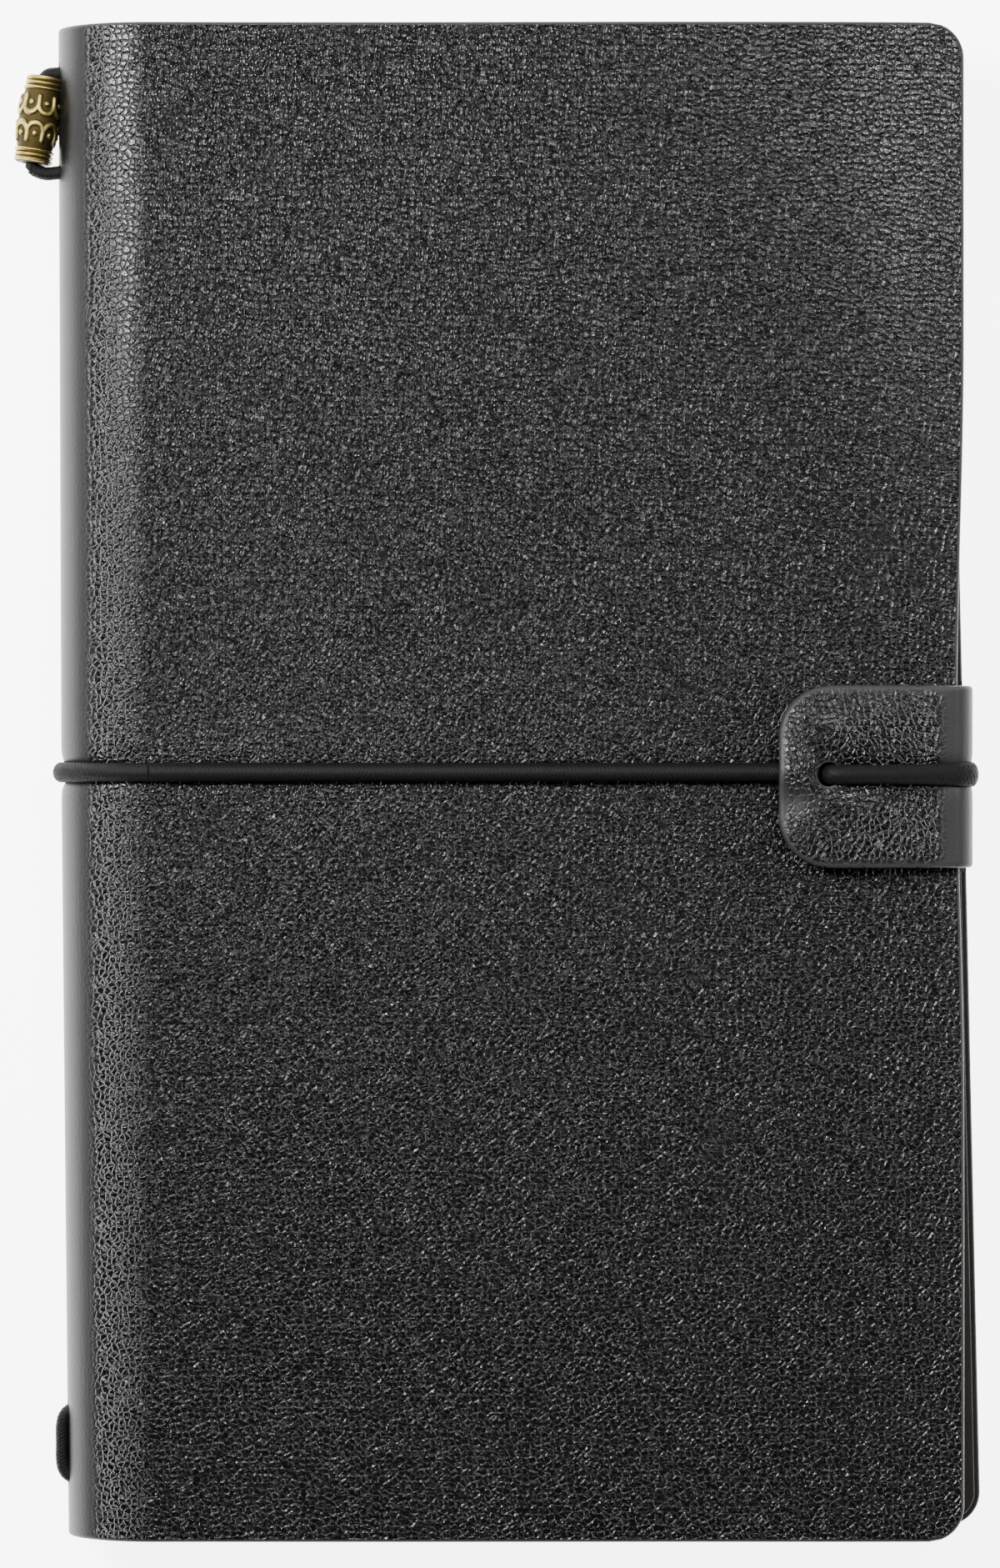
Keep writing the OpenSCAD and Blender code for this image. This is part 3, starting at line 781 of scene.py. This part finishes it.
def cord_piece(name, route, side, material, ends=(True, True), carriers=8, pitch=0.55):
    """A braided cord along route, rows (x, y, z, width, thickness). side is the width's direction.
    ends says which ends are rounded off. The braid's carriers stand out of the surface."""
    line, at = curve_through(route, 0.09)
    n, ring = len(line), 28
    tangent = np.gradient(line[:, :3], axis=0)
    tangent /= np.linalg.norm(tangent, axis=1)[:, None]
    side = np.asarray(side, float)
    up = np.cross(tangent, side)
    up /= np.linalg.norm(up, axis=1)[:, None]
    across = np.cross(up, tangent)
    angle = np.linspace(0, 2 * math.pi, ring, endpoint=False)
    a = at[:, None] / pitch + carriers * angle[None, :] / (2 * math.pi)
    b = at[:, None] / pitch - carriers * angle[None, :] / (2 * math.pi)
    over = (np.floor(a) + np.floor(b)) % 2 == 0
    rib = np.where(over, np.abs(np.sin(math.pi * a)), np.abs(np.sin(math.pi * b))) ** 0.7
    half_w, half_t = line[:, 3] / 2, line[:, 4] / 2
    shrink = np.ones(n)
    for first, rounded in ((True, ends[0]), (False, ends[1])):
        if rounded:
            d = at if first else at[-1] - at
            r = half_t[0 if first else -1]
            shrink = np.minimum(shrink, np.sqrt(np.clip(1 - (1 - np.clip(d / r, 0, 1)) ** 2, 0.0004, 1)))
    lift = -0.08 + 0.12 * rib
    points = (line[:, None, :3]
              + across[:, None, :] * (((half_w[:, None] + lift) * shrink[:, None]) * np.cos(angle))[..., None]
              + up[:, None, :] * (((half_t[:, None] + lift) * shrink[:, None]) * np.sin(angle))[..., None])
    flat = np.stack(np.broadcast_arrays(at[:, None], angle * CORD_D / 2), -1)
    quads = grid_quads(n, ring, wrap=True)
    points, flat, rib = points.reshape(-1, 3), flat.reshape(-1, 2), rib.ravel()
    caps = []
    for ring_at, order in ((0, 1), (n - 1, -1)):  # each end closed by quads across the ring
        v = ring_at * ring + np.arange(ring)
        half = ring // 2
        for k in range(half - 1):
            caps.append([v[k], v[k + 1], v[ring - 2 - k], v[ring - 1 - k]][::order])
    quads = np.concatenate([quads, np.array(caps)])
    return make_mesh(name, points, quads, flat, None, (material,), {"rib": rib})


def on_spine(s, off, size, sign):
    """a row of the closure elastic's route, off the spine's outer face; sign is 1 above its middle"""
    x, z, nx, nz = [float(v) for v in section(np.asarray(float(s)))]
    return (x + nx * off, CORD_Y, MID_Z + sign * (z + nz * off), *size)


def on_strap(s, off, size):
    """a row of the closure elastic's route, off the strap's outer face"""
    x, z = [float(np.interp(s, STRAP_RUN, STRAP[:, k])) for k in (0, 1)]
    out_x, out_z = [float(np.interp(s, STRAP_RUN, STRAP_OUT[:, k])) for k in (0, 1)]
    off = off + float(flap_relief(np.asarray(s), np.asarray(TAB_HOLE[1])))
    return (x + out_x * off, TAB_HOLE[1], z + out_z * off, *size)


def closure_cord(part, route, ends, fold, *nodes):
    """one stretch of the closure elastic; fold, the fold that it crosses, is not used"""
    piece = cord_piece(f"closure_cord_{part}", route, (0, 1, 0), BRAID, ends)
    bend_with(piece)
    if nodes:
        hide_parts(*nodes)


def closure_pieces():
    """the closure elastic, parted where it crosses a fold"""
    hole_x, hole_y = TAB_HOLE
    up_z = COVER_T + CORD_D / 2 - 0.05
    parting = (12.6, CORD_Y, up_z - 0.12, *CORD_FREE)
    spine = [(0.9, CORD_Y, MID_Z - 0.2, *CORD_SUNK), on_spine(1.2, 0.05, CORD_SUNK, 1),
             on_spine(3.5, 0.1, CORD_SUNK, 1), on_spine(6.5, 0.2, CORD_SUNK, 1),
             on_spine(9.5, 0.45, CORD_FREE, 1), on_spine(13.0, 0.85, CORD_FREE, 1), parting]
    closure_cord("round_spine", spine, (True, False), "front")

    front = [parting, (16, CORD_Y, up_z, *CORD_FREE), (22, CORD_Y, up_z, *CORD_FREE)]
    front += [(x, CORD_Y, up_z + 0.1 * math.sin(x / 9), *CORD_FREE) for x in (34, 48, 62, 76, 88, 95)]
    front += [(100, CORD_Y - 0.1, up_z + 0.25, *CORD_FREE), (hole_x - 0.6, hole_y, up_z + 0.7, *CORD_FREE)]
    closure_cord("front", front, (False, True), "strand", "closure_elastic_front")

    hole = strap_along(hole_x)
    x0, _, z0, *_ = on_strap(hole, 0, CORD_FREE)
    tab = [(x0 + 0.2, hole_y, z0 - 3.0, *CORD_FREE), (x0 + 0.2, hole_y, z0 - 1.4, *CORD_FREE),
           (x0 + 0.5, hole_y, z0 + 0.15, *CORD_FREE), on_strap(hole - 2.0, 1.05, CORD_FREE),
           on_strap(hole - 4.0, 1.3, CORD_FREE), on_strap(hole - 8.0, 1.25, CORD_FREE),
           on_strap(hole - 12.0, 1.15, (2.7, 2.3)), on_strap(FOLD_END + 1.5, 0.95, (2.9, 2.0)),
           on_strap(FOLD_END - 0.8, 0.7, CORD_PRESSED), on_strap(FOLD_END - 2.6, 0.55, CORD_PRESSED),
           on_strap(FOLD_END - 4.6, 0.5, CORD_PRESSED), on_strap(RISER_END + 0.4, 0.5, CORD_PRESSED)]
    closure_cord("tab", tab, (True, False), "flap", "closure_elastic_tab")

    root_x = TAB_X - TAB_FOOT_R
    root = (root_x - 4, hole_y, 0.6, *CORD_FLAT)
    fore = [on_strap(s, 0.5, CORD_PRESSED) for s in np.linspace(RISER_END + 0.4, 8.5, 5)]
    fore += [on_strap(5.5, 0.15, (3.3, 1.3)), on_strap(3.0, -0.2, CORD_FLAT), on_strap(1.2, -0.5, CORD_FLAT),
             (root_x - 1.5, hole_y, 0.6, *CORD_FLAT), root]
    closure_cord("fore_edge", fore, (False, False), "riser", "closure_elastic_fore_edge")

    back = [root] + [(x, hole_y, 0.6, *CORD_FLAT) for x in (95, 70, 45, 22)]
    back += [(14, 1.1, 0.6, *CORD_FLAT), on_spine(14.0, -0.35, (3.2, 1.4), -1),
             on_spine(10.0, -0.15, (3.0, 1.8), -1), on_spine(6.0, 0.1, CORD_SUNK, -1),
             on_spine(3.0, 0.05, CORD_SUNK, -1), on_spine(0.8, 0.05, CORD_SUNK, -1),
             (0.9, CORD_Y, MID_Z + 0.3, *CORD_SUNK)]
    closure_cord("back", back, (False, True), "back",
                 "closure_elastic_back", "closure_elastic_spine", "closure_elastic_anchor")


def binding_cord(name, route, body, node):
    """one stretch of the binding elastic, route rows x, y, z"""
    rows = [(x, y, z, BINDING_D, BINDING_D) for x, y, z in route]
    piece = cord_piece(name, rows, (0, 0, 1), BINDING, carriers=6, pitch=0.5)
    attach(piece, body)
    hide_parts(node)


def binding_pieces():
    """outside at the head, through the bead; outside at the foot; and a strand in the fold of each booklet"""
    lean = np.array([math.sin(BEAD_TILT), math.cos(BEAD_TILT)])
    top_x, top_y = BEAD_AT[:2] + lean * BEAD_LENGTH / 2
    low_x, low_y = BEAD_AT[:2] - lean * BEAD_LENGTH / 2
    h1, h2 = HEAD_HOLES
    head = [(3.2, h1), (1.2, h1 - 0.05), (-0.4, h1 - 0.4), (top_x + 0.8, top_y + 0.45),
            (top_x + 0.15, top_y + 0.15), (top_x - 0.08, top_y - 0.6), tuple(BEAD_AT[:2]), (low_x, low_y),
            (low_x + 0.05, low_y - 0.6), (low_x + 0.7, h2 + 0.05), (-1.8, h2 - 0.3), (0.4, h2 - 0.05),
            (1.6, h2), (3.2, h2)]
    f1, f2 = FOOT_HOLES
    out = 0.25
    foot = [(3.2, f1), (1.8, f1), (out + 0.45, f1 - 0.75), (out, f1 - 2.2), (out - 0.02, (f1 + f2) / 2),
            (out, f2 + 2.2), (out + 0.45, f2 + 0.75), (1.8, f2), (3.2, f2)]
    for end, route in (("head", head), ("foot", foot)):
        binding_cord(f"binding_cord_{end}", [(x, y, BINDING_Z) for x, y in route], "spine",
                     f"binding_elastic_{end}")
    for k in (1, 2, 3):
        lo, hi = cover_box(f"binding_strand_{k}")
        x, _, z = (lo + hi) / 2
        binding_cord(f"binding_cord_{k}", [(x, y, z) for y in np.linspace(lo[1], hi[1], 9)], "back_cover",
                     f"binding_strand_{k}")


# ---- the bead ----
def dome(distance, radius):
    """height of a round ridge or dot, 1 on its middle line"""
    return np.sqrt(np.clip(1 - (distance / radius) ** 2, 0, 1))


def bead_relief(t, w, around):
    """height of the cast pattern, 0 to 1: arches round two rows of dots; t along the bead, w round it"""
    pitch = around / 8
    h = np.zeros(np.shape(t))
    for row, shift in ((2.1, 0.0), (-2.1, 0.5)):
        u = np.abs((w / pitch + shift) % 1 - 0.5) * pitch
        v = (row - t) * np.sign(row)
        arch = np.abs(np.hypot(u, v * 0.8) - pitch / 2)
        leg = np.hypot(u - pitch / 2, np.minimum(v + 0.9, 0))
        h = np.maximum(h, dome(np.where(v > 0, arch, leg), 0.34))
        h = np.maximum(h, 0.9 * dome(np.hypot(u, v), 0.42))
    return h


def bead_piece():
    """the cast bead, a bored barrel turned about its own y and then tilted"""
    rows, ring, bore_rows = 230, 240, 12
    half, belly, end, bore = BEAD_LENGTH / 2, 2.92, 2.35, 1.2
    t = np.linspace(-half, half, rows)
    angle = np.linspace(0, 2 * math.pi, ring, endpoint=False)
    radius = end + (belly - end) * np.cos(np.clip(np.abs(t) / (half - 1.4), 0, 1) * math.pi / 2) ** 0.8

    # three ribs at each end, the pattern between them
    ribs = np.zeros(rows)
    for from_end in (0.36, 0.98, 1.6):
        ribs = np.maximum(ribs, dome(t - (half - from_end), 0.29))
        ribs = np.maximum(ribs, dome(t + (half - from_end), 0.29))
    tt, ww = np.meshgrid(t, angle * belly, indexing="ij")
    window = 1 - smooth(np.abs(t), half - 2.15, half - 1.95)
    pattern = bead_relief(tt, ww, 2 * math.pi * belly) * window[:, None]
    pattern = np.maximum(pattern, ribs[:, None] * np.ones(ring))
    lift = np.where(np.abs(tt) > half - 2.0, 0.34, 0.3) * pattern
    r = radius[:, None] - 0.1 + lift + 0.05 * waves(ww, tt, 11, 6)

    outer = np.stack([r * np.cos(angle), tt, r * np.sin(angle)], -1)
    bore_t = np.linspace(half, -half, bore_rows)[:, None]
    bore_r = bore + 0.25 * (np.abs(bore_t) / half) ** 8
    inner = np.stack([bore_r * np.cos(angle), np.broadcast_to(bore_t, (bore_rows, ring)),
                      bore_r * np.sin(angle)], -1)
    points = np.concatenate([outer, inner]).reshape(-1, 3)
    relief = np.concatenate([pattern.ravel(), np.zeros(bore_rows * ring)])
    j = np.arange(ring)
    last = (rows + bore_rows - 1) * ring
    closing = np.stack([last + j, last + (j + 1) % ring, (j + 1) % ring, j], -1)
    quads = np.concatenate([grid_quads(rows + bore_rows, ring, wrap=True), closing])

    c, s = math.cos(BEAD_TILT), math.sin(BEAD_TILT)
    x = points[:, 0] * c + points[:, 1] * s
    y = -points[:, 0] * s + points[:, 1] * c
    points = np.stack([x, y, points[:, 2]], -1) + BEAD_AT
    piece = make_mesh("bead_cast", points, quads, points[:, :2], None, (BRASS,), {"relief": relief})
    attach(piece, "bead")
    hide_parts("spine_bead")


# ---- booklets ----
def folded_leaf(x, z, reach, half_h, gap_r, thick, corner):
    """points and quads of one folded leaf: an upper and a lower half joined by a round fold"""
    ny = spread([(-half_h, 0.6), (-half_h + corner, 6), (half_h - corner, 0.6), (half_h, 1)])
    over = np.clip(np.abs(ny) - (half_h - corner), 0, corner)
    cut = corner - np.sqrt(np.maximum(corner ** 2 - over ** 2, 0))
    run = np.linspace(1, 0.06, 14)
    turn = np.linspace(math.pi / 2, 3 * math.pi / 2, 9)
    faces = []
    for r in (gap_r, gap_r - thick):
        upper = [(x + (reach - cut) * f, z + r) for f in run]
        fold = [(x + r * math.cos(a), z + r * math.sin(a)) for a in turn]
        lower = [(x + (reach - cut) * f, z - r) for f in run[::-1]]
        lines = [np.stack(np.broadcast_arrays(px, ny, pz), -1) for px, pz in upper + fold + lower]
        faces.append(np.array(lines))
    rows, cols = faces[0].shape[:2]
    n = rows * cols
    grid = grid_quads(rows, cols)
    border = grid_border(rows, cols)
    edge = np.stack([border, np.roll(border, -1), np.roll(border, -1) + n, border + n], -1)
    return np.concatenate(faces).reshape(-1, 3), np.concatenate([grid, grid[:, ::-1] + n, edge])


def leaf_piece(name, node, material, leaves):
    """one piece from folded leaves, on the back cover"""
    points, quads = [], []
    for leaf_points, leaf_quads in leaves:
        quads.append(leaf_quads + sum(map(len, points)))
        points.append(leaf_points)
    points = np.concatenate(points)
    piece = make_mesh(name, points, np.concatenate(quads), points[:, :2], None, (material,), sharp=40)
    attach(piece, "back_cover")
    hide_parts(node)


def booklet_pieces():
    """each booklet's card and leaves; its staples stay as they are and get their material"""
    leaf_count = 9
    tightest = 0.32
    for k in (1, 2, 3):
        (x0, _, z0), (x1, y1, z1) = cover_box(f"booklet_{k}_card")
        r = (z1 - z0) / 2
        x, z = x0 + r, (z0 + z1) / 2
        reach = x1 - x
        leaf_piece(f"booklet_{k}", f"booklet_{k}_card", CARD,
                   [folded_leaf(x, z, reach, y1, r, thick=0.3, corner=5.0)])
        rng = np.random.default_rng(40 + k)
        leaves = []
        for i in range(leaf_count):
            leaf_reach = reach - 1.6 + 1.2 * i / leaf_count + rng.uniform(-0.12, 0.12)
            leaf_half = y1 - 0.75 + rng.uniform(-0.1, 0.1)
            gap_r = tightest + (r - 0.36 - tightest) * (i + 1) / leaf_count
            leaves.append(folded_leaf(x, z, leaf_reach, leaf_half, gap_r, thick=0.11, corner=4.0))
        leaf_piece(f"booklet_{k}_leaves", f"booklet_{k}_pages", PAPER, leaves)
        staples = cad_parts[f"booklet_{k}_staples"].data.materials
        staples.clear()
        staples.append(STEEL)


# ---- camera, light and floor ----
def camera():
    """straight above, at the distance that the photograph's perspective shows"""
    data = bpy.data.cameras.new("camera")
    data.sensor_fit = "VERTICAL"
    data.sensor_height = 24
    data.lens = 77.95
    bpy.context.scene.camera = add_object("camera", data, (0, -0.00028, 0.697))


def soft_box(name, place, target, size, power):
    """a rectangular light that faces target"""
    data = bpy.data.lights.new(name, "AREA")
    data.shape = "RECTANGLE"
    data.size, data.size_y = size
    data.energy = power
    obj = add_object(name, data, place)
    obj.rotation_euler = (Vector(target) - Vector(place)).to_track_quat("-Z", "Y").to_euler()


def studio():
    """faint light from all round, five soft boxes and a pale floor"""
    world = bpy.data.worlds.new("studio")
    bpy.context.scene.world = world
    world.use_nodes = True
    background = world.node_tree.nodes["Background"]
    background.inputs[0].default_value = (1, 1, 1, 1)
    background.inputs[1].default_value = 0.025
    soft_box("left_box", (-0.34, 0.22, 0.56), (-0.05, 0.1, 0), (0.14, 0.28), 11)
    soft_box("head_box", (0.02, 0.58, 0.62), (0.02, 0, 0), (0.6, 0.26), 1.2)
    soft_box("right_box", (0.2, 0.25, 0.72), (0.05, 0.08, 0), (0.16, 0.22), 2.6)
    soft_box("fore_box", (0.75, 0.0, 0.35), (0.06, 0, 0), (0.5, 0.3), 2.6)
    soft_box("foot_fill", (0.0, -1.1, 0.6), (0, 0, 0), (1.2, 0.4), 0.5)
    half, z = 3.0, -0.0001
    mesh = bpy.data.meshes.new("floor")
    corners = [(-half, -half, z), (half, -half, z), (half, half, z), (-half, half, z)]
    mesh.from_pydata(corners, [], [(0, 1, 2, 3)])
    floor = add_object("floor", mesh)
    floor.data.materials.append(pale_floor("floor_paper"))


camera()
closure_pieces()
binding_pieces()
cover_pieces()
tab_pieces()
bead_piece()
booklet_pieces()
studio()
